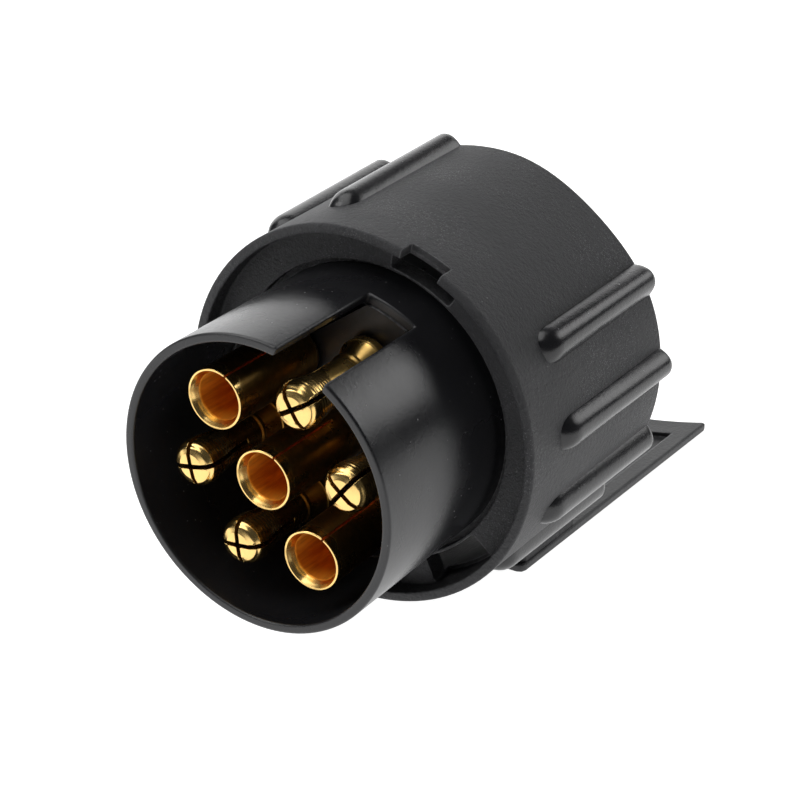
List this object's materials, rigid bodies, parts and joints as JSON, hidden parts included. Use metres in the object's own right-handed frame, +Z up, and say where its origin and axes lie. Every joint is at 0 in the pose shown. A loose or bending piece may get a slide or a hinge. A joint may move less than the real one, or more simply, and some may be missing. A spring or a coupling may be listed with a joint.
{
  "type": "trailer wiring connector adapter",
  "caption": "Short trailer wiring adapter: a keyed round plug with split pins and sleeves at the front, a bayonet collar, a ribbed grip body, a flat lid rest and a multi-way socket at the back.",
  "frame": {"origin": "on the floor plane the connector rests on, under the middle of its bounding box", "axes": "+Y along the connector axis from the plug mouth to the rear socket, +Z up in its resting position with the lid rest underneath, +X to the right seen from the plug mouth"},
  "size_m": [0.0594, 0.0992, 0.0583],
  "materials": {
    "housing_plastic": "black moulded plastic, satin plug shell and finely grained grip body",
    "insert_plastic": "black moulded plastic, matt",
    "seal_rubber": "black rubber ring",
    "front_contact_brass": "turned brass, bright tips and darker shanks",
    "rear_contact_brass": "turned brass sleeve",
    "wire_insulation_yellow": "yellow wire insulation",
    "wire_insulation_blue": "blue wire insulation",
    "wire_insulation_white": "white wire insulation",
    "wire_insulation_green": "green wire insulation",
    "wire_insulation_brown": "brown wire insulation",
    "wire_insulation_red": "red wire insulation",
    "wire_insulation_grey": "grey wire insulation"
  },
  "bodies": {
    "root": {"housing": "housing_plastic", "socket_insert": "insert_plastic", "insert_seal": "seal_rubber", "front_sleeve_centre": "front_contact_brass", "front_sleeve_ring_1": "front_contact_brass", "front_sleeve_ring_4": "front_contact_brass", "front_pin_ring_2": "front_contact_brass", "front_pin_ring_3": "front_contact_brass", "front_pin_ring_5": "front_contact_brass", "front_pin_ring_6": "front_contact_brass", "rear_way_01": "rear_contact_brass", "rear_way_02": "rear_contact_brass", "rear_way_03": "rear_contact_brass", "rear_way_04": "rear_contact_brass", "rear_way_05": "rear_contact_brass", "rear_way_06": "rear_contact_brass", "rear_way_07": "rear_contact_brass", "rear_way_08": "rear_contact_brass", "rear_way_09": "rear_contact_brass", "rear_way_10": "rear_contact_brass", "rear_way_11": "rear_contact_brass", "rear_way_12": "rear_contact_brass", "rear_way_13": "rear_contact_brass", "wire_centre": "wire_insulation_yellow", "wire_ring_1": "wire_insulation_blue", "wire_ring_2": "wire_insulation_white", "wire_ring_3": "wire_insulation_green", "wire_ring_4": "wire_insulation_brown", "wire_ring_5": "wire_insulation_red", "wire_ring_6": "wire_insulation_grey"}
  },
  "joints": []
}
